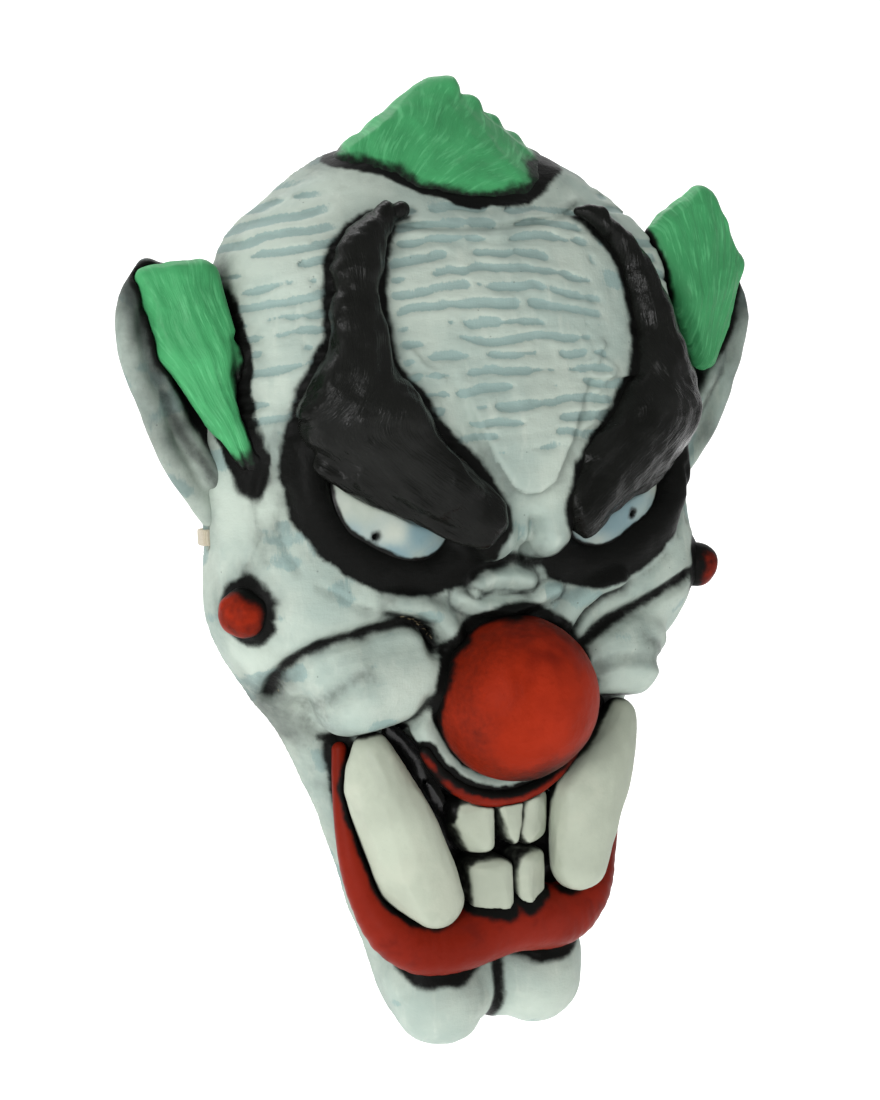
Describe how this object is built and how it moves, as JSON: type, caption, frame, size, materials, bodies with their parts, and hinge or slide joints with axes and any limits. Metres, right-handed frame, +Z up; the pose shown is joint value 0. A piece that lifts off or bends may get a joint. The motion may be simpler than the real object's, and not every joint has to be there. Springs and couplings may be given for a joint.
{
  "type": "latex halloween mask",
  "caption": "Front-face latex monster clown mask with ball nose, fangs, horned black brows, green hair tufts, ears and an elastic head strap.",
  "frame": {"origin": "centre of the open rear rim plane, at the height of the two strap slits", "axes": "+Z up as the mask is worn, the face looks towards -Y, +X is the viewer's right; the whole rear rim lies in the plane y = 0"},
  "size_m": [0.2528, 0.0809, 0.3468],
  "materials": {
    "skin": "pale grey-green latex, satin, sponged blue-grey in the wrinkles, soft black airbrush along the creases",
    "hair": "green latex moulded as brushed hair, satin",
    "brow": "near-black latex with fine wrinkles, soft sheen",
    "eye": "off-white latex with a faint blue tint low down",
    "red": "deep red latex, satin",
    "lip": "deep red latex, satin, black airbrushed edges",
    "gum": "black latex, semi-gloss",
    "tooth": "warm grey-white latex, satin, dark airbrushed roots",
    "elastic": "cream woven elastic",
    "staple": "bright wire"
  },
  "bodies": {
    "mask": {"face_skin": "skin", "crown_tuft": "hair", "side_tuft_left": "hair", "side_tuft_right": "hair", "ear_left": "skin", "ear_right": "skin", "brow_left": "brow", "brow_right": "brow", "eye_left": "eye", "eye_right": "eye", "nose_ball": "red", "upper_lip": "lip", "lower_lip": "lip", "mouth_backing": "gum", "fang_left": "tooth", "fang_right": "tooth", "tooth_upper_left": "tooth", "tooth_upper_right": "tooth", "tooth_lower_left": "tooth", "tooth_lower_right": "tooth", "tooth_wedge": "tooth", "wart_left": "red", "wart_right": "red", "strap_end_left": "elastic", "strap_end_right": "elastic", "staple_left": "staple", "staple_right": "staple"},
    "strap": {"strap": "elastic"}
  },
  "joints": [
    {"name": "strap_swing", "type": "hinge", "parent": "mask", "child": "strap", "pos_m": [0, 0.005, 0], "axis": [1, 0, 0], "range_deg": [0, 150]}
  ]
}
